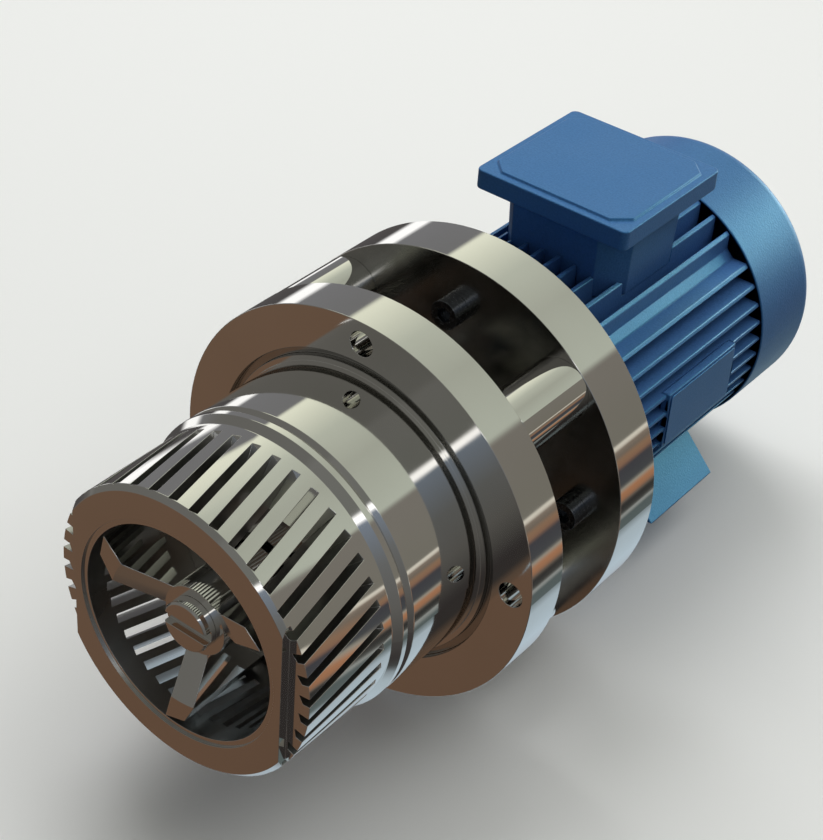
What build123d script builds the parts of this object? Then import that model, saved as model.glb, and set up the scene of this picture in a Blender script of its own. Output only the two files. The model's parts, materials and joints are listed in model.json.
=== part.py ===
"""High shear mixer: slotted stator head, hooked rotor, lantern and a finned flange motor.

The shaft line is the Y axis. +Y points from the shearing head to the motor's fan, +Z up to the
terminal box. y = 0 is the front face of the mounting flange. All sizes are in millimetres.
"""

import os
from math import cos, radians, sin, sqrt, tan

from build123d import *

# Fits and clearances
fit_gap = 0.05
running_gap = 0.08
screw_gap = 0.3
cover_gap = 0.4
hole_extra = 1.0
cut_proud = 2.0
socket_share = 0.55
groove_share = 2.6

# Stator head
stator_r = 77.0
stator_bore_r = 57.0
stator_length = 73.2
stator_mouth_chamfer = 2.5
mouth_step_r = 60.0
mouth_step_depth = 1.2
stator_cone_length = 4.5
stator_collar_length = 5.7
chamber_depth = 59.0
flat_half_width = 64.3
flat_depth = 5.0
slot_count = 40
slot_width = 4.5
slot_length = 54.5
slot_turn_per_mm = 0.156
slot_first_angle = 2.2
slot_end_angle = 63.0

# Barrel and mounting flange
barrel_r = 80.0
barrel_length = 53.8
joint_chamfer = 2.3
barrel_spigot_r = 66.0
flange_r = 110.0
flange_t = 25.5
flange_bolt_edge = 12.0
flange_bolt_hole_r = 6.75
flange_bolt_count = 4
face_groove_r = 85.0
face_groove_width = 4.0
face_groove_depth = 3.5
seal_chamber_r = 30.0
neck_length = 20.0
neck_r = 22.0

# Lantern
lantern_gap = 49.9
pillar_r = 17.0
pillar_edge = 0.2
pillar_count = 4
pillar_start_angle = 45.0
pillar_stud_r = 6.0
pillar_stud_length = 16.0
pillar_screw_r = 4.0
pillar_screw_grip = 14.0
pillar_screw_head_r = 6.5
pillar_screw_head_length = 8.0
adapter_t = 30.7
adapter_bore_r = 32.0
adapter_rim_t = 10.0
pilot_relief = 0.5

# Motor flange: 80 frame, 165 mm bolt circle, tapped holes
motor_flange_t = 12.0
motor_pilot_r = 65.0
motor_pilot_length = 3.5
motor_bolt_edge = 17.5
motor_bolt_r = 5.0
motor_bolt_head_r = 8.0
motor_bolt_head_length = 10.0
motor_bolt_count = 4
motor_bolt_setback = 1.0

# Motor frame
frame_core_r = 61.0
frame_bore_r = 55.0
frame_length = 168.9
fin_r = 77.8
fin_t = 2.4
fin_pitch = 10.4
fin_pairs = 5
corner_flat_distance = 71.0
corner_depth = 9.6
corner_lug_r = 5.5
corner_lug_circle_r = 60.5

# End shields and their screws
shield_screw_circle_r = 59.5
shield_screw_count = 4
shield_screw_start = 45.0
shield_screw_r = 2.5
shield_screw_head_r = 4.25
shield_screw_head_length = 5.0
shield_screw_grip = 12.0
shield_rim_length = 7.0
shield_rim_t = 7.0
shield_hub_r = 30.0
front_shield_web = 8.0
rear_shield_t = 9.0
rear_shield_r = 66.5
rear_hub_length = 11.0
shaft_seal_r = 14.0
shaft_seal_length = 6.0
shaft_seal_setback = 1.0
shaft_passage_gap = 2.0

# Ball bearings, 20 mm bore
bearing_outer_r = 23.5
bearing_bore_r = 10.0
bearing_width = 14.0
bearing_land_outer_r = 19.4
bearing_land_inner_r = 14.1
ball_r = 3.95
ball_circle_r = 16.75
ball_count = 8

# Motor shaft, rotor core and windings
shaft_end_r = 9.5
shaft_end_length = 40.0
shaft_core_r = 13.0
shaft_fan_r = 8.0
shaft_tail_length = 37.0
rotor_core_r = 32.6
air_gap = 0.4
core_length = 80.0
core_from_frame = 30.0
end_ring_length = 9.0
end_ring_r = 29.0
end_ring_inner_r = 20.0
winding_outer_r = 51.0
winding_inner_r = 37.0
winding_length = 18.0
winding_corner_r = 4.0

# Fan and cowl
cowl_r = 79.6
cowl_wall = 1.6
cowl_length = 68.1
cowl_overlap = 8.0
cowl_flat_r = 66.0
cowl_slope_length = 17.0
cowl_bend_r = 9.0
grille_rings = 4
grille_first_r = 20.0
grille_pitch = 9.5
grille_slot_width = 5.0
grille_spokes = 6
grille_spoke_width = 6.0
cowl_post_circle_r = 57.0
cowl_post_r = 4.2
cowl_post_count = 4
cowl_screw_r = 2.0
cowl_screw_grip = 9.0
cowl_screw_head_r = 3.6
cowl_screw_head_length = 2.4
fan_from_shield = 4.0
fan_r = 51.5
fan_disc_r = 44.0
fan_disc_t = 2.5
fan_hub_r = 15.0
fan_hub_length = 20.0
fan_blade_length = 22.0
fan_blade_count = 7
fan_blade_t = 2.5
fan_blade_root = 1.0
circlip_t = 1.2
circlip_r = 10.5
circlip_groove_depth = 0.8

# Feet
foot_height = 80.0
foot_length = 65.1
foot_from_frame = 74.4
foot_web_x = 34.0
foot_inner_x = 40.0
foot_outer_x = 74.5
foot_top_x = 54.5
foot_seat_height = 21.0
foot_heel = 7.0
foot_pad_t = 14.0
foot_hole_x = 62.5
foot_hole_spacing_y = 45.0
foot_hole_r = 3.0
foot_hole_depth = 8.0
foot_screw_x = 47.5
foot_screw_spacing_y = 40.0
foot_screw_r = 3.0
foot_screw_head_r = 5.0
foot_screw_head_length = 6.0
foot_screw_grip = 10.0

# Nameplate
nameplate_from_frame = 62.9
nameplate_length = 68.0
nameplate_height = 35.0
nameplate_pad_x = 78.2
nameplate_pad_t = 5.0
nameplate_t = 0.8
nameplate_margin = 1.5
nameplate_corner_r = 2.0

# Terminal box
box_from_frame = 52.9
box_length = 77.0
box_half_width = 40.0
box_corner_x = 13.0
box_corner_y = 16.0
box_base_z = 60.0
box_pad_t = 12.0
box_pad_inset = 1.0
box_draft_angle = 2.4
box_wall = 4.0
box_floor_t = 4.0
box_rim_z = 101.5
box_rim_overhang = 3.0
box_rim_t = 4.0
box_lead_hole_r = 6.0
box_lead_hole_from_end = 14.0
box_screw_x = 20.0
box_screw_spacing_y = 52.0
box_screw_r = 2.0
box_screw_head_r = 3.6
box_screw_head_length = 3.0
box_screw_grip = 7.0
gasket_t = 1.5
gasket_width = 5.0
lid_half_width = 47.5
lid_overhang_y = 7.4
lid_corner_r = 4.0
lid_height = 11.3
lid_plate_t = 5.0
lid_skirt_t = 3.6
lid_panel_inset = 4.5
lid_panel_corner = 9.0
lid_panel_t = 1.5
lid_screw_inset = 3.6
lid_screw_r = 2.0
lid_screw_head_r = 3.0
lid_screw_head_length = 2.6
lid_screw_grip = 4.0

# Terminals
block_width = 56.0
block_depth = 26.0
block_height = 14.0
stud_r = 2.0
stud_length = 12.0
stud_pitch = 18.0
stud_row_gap = 13.0
stud_nut_r = 3.8
stud_nut_t = 3.0
link_t = 1.0
link_width = 7.0

# Cable entries
entry_z = 82.0
entry_boss_r = 14.0
entry_boss_proud = 1.5
entry_thread_r = 10.0
entry_thread_length = 10.0
gland_hex_r = 13.5
gland_hex_length = 7.0
gland_collar_r = 9.5
gland_collar_length = 6.0
gland_nut_r = 12.5
gland_nut_length = 14.0
gland_nut_dome_r = 4.2
gland_bore_r = 5.5
plug_z = 90.0
plug_boss_r = 9.5
plug_hex_r = 9.2
plug_thread_r = 6.0
plug_head_length = 5.0

# Mixer shaft, rotor and seal
hub_from_mouth = 13.5
hub_r = 18.5
rotor_seat_r = 10.0
rotor_seat_setback = 1.0
rotor_end_gap = 1.0
seal_shaft_r = 15.0
coupling_r = 21.0
coupling_length = 46.0
coupling_end_gap = 1.1
coupling_key_setback = 2.0
key_width = 6.0
key_depth = 3.5
key_height = 6.2
rotor_key_length = 29.0
coupling_key_length = 33.0
set_screw_r = 3.0
set_screw_spacing = 18.0
set_screw_sink = 1.0
blade_count = 3
blade_first_angle = 37.0
blade_from_mouth = 0.5
blade_end_gap = 3.0
blade_half_width = 6.6
blade_reach_r = 40.7
blade_heel_r = 52.0
blade_heel_side = 0.8
blade_tip_r = 54.3
blade_tip_side = 13.5
blade_throat_r = 39.3
blade_throat_side = 7.8
rotor_screw_head_r = 13.5
rotor_screw_head_length = 6.9
rotor_screw_slot = 6.0
rotor_screw_slot_depth = 4.0
rotor_screw_edge = 1.0
rotor_screw_r = 5.0
rotor_screw_length = 26.0
seal_cover_r = 46.0
seal_cover_t = 8.0
seal_snout_length = 33.5
seal_snout_gap = 0.1
seal_cover_bore_r = 16.5
seal_cover_groove_setback = 6.0
seal_seat_r = 24.0
seal_seat_length = 10.0
seal_seat_pocket = 6.0
seal_face_r = 22.0
seal_face_length = 8.0
seal_film = 0.02
seal_spring_length = 16.0
seal_wire_r = 1.0
seal_spring_r = 18.5
seal_spring_turns = 3
seal_collar_length = 8.0
collar_screw_r = 2.0
collar_screw_sink = 1.0
seal_screw_circle_r = 38.5
seal_screw_r = 3.0
seal_screw_head_r = 5.0
seal_screw_head_length = 6.0
seal_screw_grip = 12.0
seal_screw_count = 4
cord_r = 1.5
small_cord_r = 1.25

# Circles and stations that follow from the sizes
flange_bolt_circle_r = flange_r - flange_bolt_edge
pillar_circle_r = flange_r - pillar_edge - pillar_r
motor_flange_r = flange_r - adapter_rim_t
motor_bolt_circle_r = motor_flange_r - motor_bolt_edge
joint_y = -barrel_length
mouth_y = joint_y - stator_length
chamber_back_y = mouth_y + chamber_depth
adapter_front_y = flange_t + lantern_gap
adapter_back_y = adapter_front_y + adapter_t
motor_face_y = adapter_back_y - motor_flange_t
pilot_front_y = motor_face_y - motor_pilot_length
frame_front_y = adapter_back_y
frame_back_y = frame_front_y + frame_length
front_bearing_y = motor_face_y + front_shield_web
rear_bearing_y = frame_back_y - rear_hub_length
rear_shield_back_y = frame_back_y + rear_shield_t
core_front_y = frame_front_y + core_from_frame
core_back_y = core_front_y + core_length
cowl_front_y = frame_back_y - cowl_overlap
cowl_back_y = cowl_front_y + cowl_length
fan_front_y = rear_shield_back_y + fan_from_shield
box_front_y = frame_front_y + box_from_frame
box_mid_y = box_front_y + box_length / 2
box_back_y = box_front_y + box_length
foot_front_y = frame_front_y + foot_from_frame
foot_mid_y = foot_front_y + foot_length / 2
foot_seat_z = foot_seat_height - foot_height


def across(y):
    """The plane square to the shaft line at y: its own x is +X and its own y is +Z."""
    return Plane.XZ.offset(-y)


def save(piece, node):
    """Label a finished piece and write its STEP file."""
    piece.label = node
    export_step(piece, f"parts/{node}.step")


def ring(inner_r, outer_r, start_y, end_y):
    """A plain ring about the shaft line from start_y to end_y."""
    with BuildPart() as plain_ring:
        with BuildSketch(across(start_y)):
            Circle(outer_r)
            Circle(inner_r, mode=Mode.SUBTRACT)
        extrude(amount=start_y - end_y)
    return plain_ring.part


def cord_ring(circle_r, section_r, y):
    """A rubber ring of round section about the shaft line."""
    with BuildPart() as round_ring:
        with BuildSketch(Plane.XY):
            with Locations((circle_r, y)):
                Circle(section_r)
        revolve(axis=Axis.Y)
    return round_ring.part


def cap_screws(seat_y, towards, circle_r, count, start_angle, screw_r, length, head_r, head_length):
    """Socket-head cap screws round the shaft line. towards is +1 when the shanks point to +Y."""
    head_top_y = seat_y - towards * head_length
    with BuildPart() as screws:
        with BuildSketch(across(seat_y)):
            with PolarLocations(circle_r, count, start_angle):
                Circle(head_r)
        extrude(amount=towards * head_length)
        with BuildSketch(across(seat_y)):
            with PolarLocations(circle_r, count, start_angle):
                Circle(screw_r)
        extrude(amount=-towards * length)
        with BuildSketch(across(head_top_y)):
            with PolarLocations(circle_r, count, start_angle):
                RegularPolygon(socket_share * head_r, 6)
        extrude(amount=-towards * head_length / 2, mode=Mode.SUBTRACT)
    return screws.part


os.makedirs("parts", exist_ok=True)

# Stator head: a sleeve with skewed shearing slots, screwed over the barrel's spigot
slot_lean = radians(slot_turn_per_mm) * stator_r
slot_stretch = sqrt(1 + slot_lean**2)
slot_half = slot_stretch * slot_length / 2
slot_end_slope = 1 / tan(radians(slot_end_angle))
slot_top = cut_proud
slot_bottom = stator_bore_r - stator_r - cut_proud


def slot_planes():
    """A plane through each slot's middle on the sleeve's outside: x along the slot, y outward."""
    mid_turn = slot_turn_per_mm * slot_length / 2
    mid_y = mouth_y + stator_mouth_chamfer + slot_length / 2
    planes = []
    for number in range(slot_count):
        angle = radians(slot_first_angle + number * 360 / slot_count + mid_turn)
        out = Vector(cos(angle), 0, sin(angle))
        around = Vector(-sin(angle), 0, cos(angle))
        along = (Vector(0, 1, 0) + around * slot_lean).normalized()
        middle = out * stator_r + Vector(0, mid_y, 0)
        planes.append(Plane(origin=middle, x_dir=along, z_dir=along.cross(out)))
    return planes


with BuildPart() as stator_head:
    with BuildSketch(Plane.XY):
        with BuildLine():
            Polyline(
                (stator_bore_r, mouth_y + mouth_step_depth),
                (mouth_step_r, mouth_y + mouth_step_depth),
                (mouth_step_r, mouth_y),
                (stator_r - stator_mouth_chamfer, mouth_y),
                (stator_r, mouth_y + stator_mouth_chamfer),
                (stator_r, joint_y - stator_collar_length - stator_cone_length),
                (barrel_r, joint_y - stator_collar_length),
                (barrel_r, joint_y - joint_chamfer),
                (barrel_r - joint_chamfer, joint_y),
                (barrel_spigot_r + fit_gap, joint_y),
                (barrel_spigot_r + fit_gap, chamber_back_y),
                (stator_bore_r, chamber_back_y),
                close=True,
            )
        make_face()
    revolve(axis=Axis.Y)
    # The two wrench flats at the mouth
    with BuildSketch(across(mouth_y)):
        with GridLocations(2 * flat_half_width + stator_r, 0, 2, 1):
            Rectangle(stator_r, 2 * stator_r)
    extrude(amount=-flat_depth, mode=Mode.SUBTRACT)
    # Each slot's ends slope, as a cutter leaves them, so it is shorter inside the bore
    with BuildSketch(*slot_planes()):
        Polygon(
            (-slot_half - slot_top * slot_end_slope, slot_top),
            (slot_half + slot_top * slot_end_slope, slot_top),
            (slot_half + slot_bottom * slot_end_slope, slot_bottom),
            (-slot_half - slot_bottom * slot_end_slope, slot_bottom),
            align=None,
        )
    extrude(amount=slot_width / 2, both=True, mode=Mode.SUBTRACT)
save(stator_head.part, "stator_head")

# O-ring between the sleeve and the barrel, in a groove round the spigot
spigot_groove_y = (chamber_back_y + joint_y) / 2
save(cord_ring(barrel_spigot_r - cord_r, cord_r, spigot_groove_y), "stator_o_ring")

# Barrel and mounting flange in one piece, with the seal chamber inside
with BuildPart() as mounting_flange:
    with BuildSketch(Plane.XY):
        with BuildLine():
            Polyline(
                (neck_r, chamber_back_y),
                (barrel_spigot_r, chamber_back_y),
                (barrel_spigot_r, joint_y),
                (barrel_r - joint_chamfer, joint_y),
                (barrel_r, joint_y + joint_chamfer),
                (barrel_r, 0),
                (flange_r, 0),
                (flange_r, flange_t),
                (seal_chamber_r, flange_t),
                (seal_chamber_r, chamber_back_y + neck_length),
                (neck_r, chamber_back_y + neck_length),
                close=True,
            )
        make_face()
        with Locations((barrel_spigot_r, spigot_groove_y)):
            Rectangle(2 * (2 * cord_r + fit_gap), groove_share * cord_r, mode=Mode.SUBTRACT)
        with Locations((face_groove_r, 0)):
            Rectangle(face_groove_width, 2 * face_groove_depth, mode=Mode.SUBTRACT)
    revolve(axis=Axis.Y)
    with BuildSketch(across(0)):
        with PolarLocations(flange_bolt_circle_r, flange_bolt_count):
            Circle(flange_bolt_hole_r)
    extrude(amount=-flange_t, mode=Mode.SUBTRACT)
    with BuildSketch(across(flange_t)):
        with PolarLocations(pillar_circle_r, pillar_count, pillar_start_angle):
            Circle(pillar_stud_r + fit_gap)
    extrude(amount=pillar_stud_length + hole_extra, mode=Mode.SUBTRACT)
    with BuildSketch(across(flange_t)):
        with PolarLocations(seal_screw_circle_r, seal_screw_count, pillar_start_angle):
            Circle(seal_screw_r + fit_gap)
    extrude(amount=seal_screw_grip + hole_extra, mode=Mode.SUBTRACT)
save(mounting_flange.part, "mounting_flange")

# Lantern: four pillars with a stud end in the mounting flange and a tapped end at the adapter
with BuildPart() as lantern_pillars:
    with BuildSketch(across(flange_t)):
        with PolarLocations(pillar_circle_r, pillar_count, pillar_start_angle):
            Circle(pillar_r)
    extrude(amount=-lantern_gap)
    with BuildSketch(across(flange_t)):
        with PolarLocations(pillar_circle_r, pillar_count, pillar_start_angle):
            Circle(pillar_stud_r)
    extrude(amount=pillar_stud_length)
    with BuildSketch(across(adapter_front_y)):
        with PolarLocations(pillar_circle_r, pillar_count, pillar_start_angle):
            Circle(pillar_screw_r + fit_gap)
    extrude(amount=pillar_screw_grip + hole_extra, mode=Mode.SUBTRACT)
save(lantern_pillars.part, "lantern_pillars")

pillar_screw_seat_y = motor_face_y - pillar_screw_head_length - screw_gap
pillar_screws = cap_screws(
    pillar_screw_seat_y,
    -1,
    pillar_circle_r,
    pillar_count,
    pillar_start_angle,
    pillar_screw_r,
    pillar_screw_seat_y - adapter_front_y + pillar_screw_grip,
    pillar_screw_head_r,
    pillar_screw_head_length,
)
save(pillar_screws, "pillar_screws")

# Adapter flange: carries the motor's flange in a pocket behind
with BuildPart() as adapter_flange:
    with BuildSketch(Plane.XY):
        with BuildLine():
            Polyline(
                (adapter_bore_r, adapter_front_y),
                (flange_r, adapter_front_y),
                (flange_r, adapter_back_y),
                (motor_flange_r + fit_gap, adapter_back_y),
                (motor_flange_r + fit_gap, motor_face_y),
                (motor_pilot_r + fit_gap, motor_face_y),
                (motor_pilot_r + fit_gap, pilot_front_y - pilot_relief),
                (adapter_bore_r, pilot_front_y - pilot_relief),
                close=True,
            )
        make_face()
    revolve(axis=Axis.Y)
    with BuildSketch(across(adapter_front_y)):
        with PolarLocations(motor_bolt_circle_r, motor_bolt_count):
            Circle(motor_bolt_r + screw_gap)
        with PolarLocations(pillar_circle_r, pillar_count, pillar_start_angle):
            Circle(pillar_screw_r + screw_gap)
    extrude(amount=adapter_front_y - motor_face_y, mode=Mode.SUBTRACT)
    with BuildSketch(across(pillar_screw_seat_y)):
        with PolarLocations(pillar_circle_r, pillar_count, pillar_start_angle):
            Circle(pillar_screw_head_r + screw_gap)
    extrude(amount=pillar_screw_seat_y - motor_face_y, mode=Mode.SUBTRACT)
save(adapter_flange.part, "adapter_flange")

motor_bolts = cap_screws(
    adapter_front_y,
    1,
    motor_bolt_circle_r,
    motor_bolt_count,
    0,
    motor_bolt_r,
    adapter_t - motor_bolt_setback,
    motor_bolt_head_r,
    motor_bolt_head_length,
)
save(motor_bolts, "motor_bolts")

# Seal cover: closes the seal chamber from behind and holds the stationary seal ring
snout_front_y = flange_t - seal_snout_length
seat_back_y = snout_front_y + seal_seat_pocket
seat_front_y = seat_back_y - seal_seat_length
cover_groove_y = flange_t - seal_cover_groove_setback
with BuildPart() as seal_cover:
    with BuildSketch(Plane.XY):
        with BuildLine():
            Polyline(
                (seal_seat_r + fit_gap, snout_front_y),
                (seal_chamber_r - seal_snout_gap, snout_front_y),
                (seal_chamber_r - seal_snout_gap, flange_t),
                (seal_cover_r, flange_t),
                (seal_cover_r, flange_t + seal_cover_t),
                (seal_cover_bore_r, flange_t + seal_cover_t),
                (seal_cover_bore_r, seat_back_y),
                (seal_seat_r + fit_gap, seat_back_y),
                close=True,
            )
        make_face()
        with Locations((seal_chamber_r - seal_snout_gap, cover_groove_y)):
            Rectangle(2 * (2 * cord_r + fit_gap), groove_share * cord_r, mode=Mode.SUBTRACT)
    revolve(axis=Axis.Y)
    with BuildSketch(across(flange_t)):
        with PolarLocations(seal_screw_circle_r, seal_screw_count, pillar_start_angle):
            Circle(seal_screw_r + screw_gap)
    extrude(amount=-seal_cover_t, mode=Mode.SUBTRACT)
save(seal_cover.part, "seal_cover")
cover_ring_r = seal_chamber_r - seal_snout_gap - cord_r
save(cord_ring(cover_ring_r, cord_r, cover_groove_y), "seal_cover_o_ring")

seal_cover_screws = cap_screws(
    flange_t + seal_cover_t,
    -1,
    seal_screw_circle_r,
    seal_screw_count,
    pillar_start_angle,
    seal_screw_r,
    seal_cover_t + seal_screw_grip,
    seal_screw_head_r,
    seal_screw_head_length,
)
save(seal_cover_screws, "seal_cover_screws")

# Stationary seal ring with its own O-ring
seat_groove_y = (snout_front_y + seat_back_y) / 2
with BuildPart() as seal_seat:
    with BuildSketch(Plane.XY):
        with BuildLine():
            Polyline(
                (seal_cover_bore_r, seat_front_y),
                (seal_face_r, seat_front_y),
                (seal_seat_r, snout_front_y),
                (seal_seat_r, seat_back_y),
                (seal_cover_bore_r, seat_back_y),
                close=True,
            )
        make_face()
        with Locations((seal_seat_r, seat_groove_y)):
            Rectangle(
                2 * (2 * small_cord_r + fit_gap), groove_share * small_cord_r, mode=Mode.SUBTRACT
            )
    revolve(axis=Axis.Y)
save(seal_seat.part, "seal_seat")
save(cord_ring(seal_seat_r - small_cord_r, small_cord_r, seat_groove_y), "seal_seat_o_ring")

# Rotating seal ring, its O-ring on the shaft, its spring and its driving collar
face_back_y = seat_front_y - seal_film
face_front_y = face_back_y - seal_face_length
face_groove_y = (face_front_y + face_back_y) / 2
with BuildPart() as seal_face:
    with BuildSketch(Plane.XY):
        with BuildLine():
            Polyline(
                (seal_shaft_r + fit_gap, face_front_y),
                (seal_face_r, face_front_y),
                (seal_face_r, face_back_y),
                (seal_shaft_r + fit_gap, face_back_y),
                close=True,
            )
        make_face()
        with Locations((seal_shaft_r, face_groove_y)):
            Rectangle(
                4 * (small_cord_r + fit_gap), groove_share * small_cord_r, mode=Mode.SUBTRACT
            )
    revolve(axis=Axis.Y)
save(seal_face.part, "seal_face")
shaft_cord_r = seal_shaft_r + fit_gap + small_cord_r
save(cord_ring(shaft_cord_r, small_cord_r, face_groove_y), "seal_shaft_o_ring")

spring_front_y = face_front_y - seal_spring_length
spring_rise = seal_spring_length - 2 * seal_wire_r - 2 * fit_gap
with BuildPart() as seal_spring:
    with BuildLine() as coil:
        Helix(
            spring_rise / seal_spring_turns,
            spring_rise,
            seal_spring_r,
            center=(0, spring_front_y + seal_wire_r + fit_gap, 0),
            direction=(0, 1, 0),
        )
    with BuildSketch(Plane(origin=coil.line @ 0, z_dir=coil.line % 0)):
        Circle(seal_wire_r)
    sweep(is_frenet=True)
save(seal_spring.part, "seal_spring")

collar_front_y = spring_front_y - seal_collar_length
collar_mid_y = (collar_front_y + spring_front_y) / 2
with BuildPart() as seal_collar:
    add(ring(seal_shaft_r + fit_gap, seal_face_r, collar_front_y, spring_front_y))
    with BuildSketch(Plane.XY):
        with Locations((0, collar_mid_y)):
            Circle(collar_screw_r + fit_gap)
    extrude(amount=seal_face_r, both=True, mode=Mode.SUBTRACT)
save(seal_collar.part, "seal_collar")

with BuildPart() as seal_collar_screws:
    for side in (1, -1):
        with BuildSketch(Plane.XY.offset(side * (seal_shaft_r + fit_gap))):
            with Locations((0, collar_mid_y)):
                Circle(collar_screw_r)
        extrude(amount=side * (seal_face_r - seal_shaft_r - collar_screw_sink))
save(seal_collar_screws.part, "seal_collar_screws")

# Mixer shaft: rotor seat in front, seal seat in the middle, bored coupling end behind
hub_front_y = mouth_y + hub_from_mouth
hub_back_y = chamber_back_y - rotor_end_gap
coupling_back_y = pilot_front_y - pilot_relief
coupling_front_y = coupling_back_y - coupling_length
motor_shaft_front_y = motor_face_y - shaft_end_length
rotor_key_front_y = (hub_front_y + hub_back_y - rotor_key_length) / 2
coupling_key_front_y = motor_shaft_front_y + coupling_key_setback
rotor_key_floor_z = rotor_seat_r - key_depth
coupling_key_floor_z = shaft_end_r - key_depth
set_screw_mid_y = coupling_key_front_y + coupling_key_length / 2
key_roof_gap = 0.1
with BuildPart() as mixer_shaft:
    with BuildSketch(Plane.XY):
        with BuildLine():
            Polyline(
                (0, hub_front_y + rotor_seat_setback),
                (rotor_seat_r - fit_gap, hub_front_y + rotor_seat_setback),
                (rotor_seat_r - fit_gap, hub_back_y),
                (seal_shaft_r, hub_back_y),
                (seal_shaft_r, coupling_front_y),
                (coupling_r, coupling_front_y),
                (coupling_r, coupling_back_y),
                (shaft_end_r + fit_gap, coupling_back_y),
                (shaft_end_r + fit_gap, motor_shaft_front_y - coupling_end_gap),
                (0, motor_shaft_front_y - coupling_end_gap),
                close=True,
            )
        make_face()
    revolve(axis=Axis.Y)
    with BuildSketch(across(hub_front_y)):
        Circle(rotor_screw_r + fit_gap)
    extrude(amount=-(rotor_screw_length + hole_extra), mode=Mode.SUBTRACT)
    # Keyway under the rotor
    with BuildSketch(Plane.XY.offset(rotor_key_floor_z)):
        with Locations((0, rotor_key_front_y + rotor_key_length / 2)):
            Rectangle(key_width + 2 * fit_gap, rotor_key_length + 2 * fit_gap)
    extrude(amount=key_height, mode=Mode.SUBTRACT)
    # Keyway in the coupling bore, and the two tapped holes above it
    with BuildSketch(across(coupling_back_y)):
        with Locations((0, (coupling_key_floor_z + key_height + key_roof_gap) / 2)):
            Rectangle(key_width + 2 * fit_gap, coupling_key_floor_z + key_height + key_roof_gap)
    extrude(amount=coupling_back_y - coupling_key_front_y + hole_extra, mode=Mode.SUBTRACT)
    with BuildSketch(Plane.XY):
        with Locations((0, set_screw_mid_y)):
            with GridLocations(0, set_screw_spacing, 1, 2):
                Circle(set_screw_r + fit_gap)
    extrude(amount=coupling_r, mode=Mode.SUBTRACT)
save(mixer_shaft.part, "mixer_shaft")

with BuildPart() as rotor_key:
    with BuildSketch(Plane.XY.offset(rotor_key_floor_z + fit_gap)):
        with Locations((0, rotor_key_front_y + rotor_key_length / 2)):
            Rectangle(key_width, rotor_key_length)
    extrude(amount=key_height - 2 * fit_gap)
save(rotor_key.part, "rotor_key")

with BuildPart() as coupling_key:
    with BuildSketch(Plane.XY.offset(coupling_key_floor_z + fit_gap)):
        with Locations((0, set_screw_mid_y)):
            Rectangle(key_width, coupling_key_length)
    extrude(amount=key_height - 2 * fit_gap)
save(coupling_key.part, "coupling_key")

set_screw_floor_z = coupling_key_floor_z + key_height + fit_gap
with BuildPart() as coupling_set_screws:
    with BuildSketch(Plane.XY.offset(set_screw_floor_z)):
        with Locations((0, set_screw_mid_y)):
            with GridLocations(0, set_screw_spacing, 1, 2):
                Circle(set_screw_r)
    extrude(amount=coupling_r - set_screw_floor_z - set_screw_sink)
    with BuildSketch(Plane.XY.offset(coupling_r - set_screw_sink)):
        with Locations((0, set_screw_mid_y)):
            with GridLocations(0, set_screw_spacing, 1, 2):
                RegularPolygon(socket_share * set_screw_r, 6)
    extrude(amount=-set_screw_r, mode=Mode.SUBTRACT)
save(coupling_set_screws.part, "coupling_set_screws")

# Rotor: a hub with three blades whose ends hook forward along the bore
blade_front_y = mouth_y + blade_from_mouth
blade_back_y = chamber_back_y - blade_end_gap
with BuildPart() as rotor:
    with BuildSketch(across(blade_front_y)):
        with PolarLocations(0, blade_count, blade_first_angle):
            Polygon(
                (rotor_seat_r, blade_half_width),
                (blade_reach_r, blade_half_width),
                (blade_heel_r, -blade_heel_side),
                (blade_tip_r, -blade_tip_side),
                (blade_throat_r, -blade_throat_side),
                (rotor_seat_r, -blade_half_width),
                align=None,
            )
    extrude(amount=blade_front_y - blade_back_y)
    # The arms' front edges slope back to the hub
    with BuildSketch(Plane.XY):
        with BuildLine():
            Polyline(
                (0, blade_front_y - cut_proud),
                (blade_reach_r, blade_front_y - cut_proud),
                (blade_reach_r, blade_front_y),
                (hub_r, hub_front_y),
                (0, hub_front_y),
                close=True,
            )
        make_face()
    revolve(axis=Axis.Y, mode=Mode.SUBTRACT)
    with BuildSketch(across(hub_front_y)):
        Circle(hub_r)
    extrude(amount=hub_front_y - hub_back_y)
    with BuildSketch(across(hub_front_y)):
        Circle(rotor_seat_r)
        with Locations((0, (rotor_key_floor_z + key_height + key_roof_gap) / 2)):
            Rectangle(key_width + 2 * fit_gap, rotor_key_floor_z + key_height + key_roof_gap)
    extrude(amount=hub_front_y - hub_back_y, mode=Mode.SUBTRACT)
save(rotor.part, "rotor")

# Slotted screw that holds the rotor on its seat
screw_front_y = hub_front_y - rotor_screw_head_length
with BuildPart() as rotor_screw:
    with BuildSketch(Plane.XY):
        with BuildLine():
            Polyline(
                (0, screw_front_y),
                (rotor_screw_head_r - rotor_screw_edge, screw_front_y),
                (rotor_screw_head_r, screw_front_y + rotor_screw_edge),
                (rotor_screw_head_r, hub_front_y),
                (rotor_screw_r, hub_front_y),
                (rotor_screw_r, hub_front_y + rotor_screw_length),
                (0, hub_front_y + rotor_screw_length),
                close=True,
            )
        make_face()
    revolve(axis=Axis.Y)
    with BuildSketch(across(screw_front_y)):
        Rectangle(2 * rotor_screw_head_r, rotor_screw_slot)
    extrude(amount=-rotor_screw_slot_depth, mode=Mode.SUBTRACT)
save(rotor_screw.part, "rotor_screw")

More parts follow.
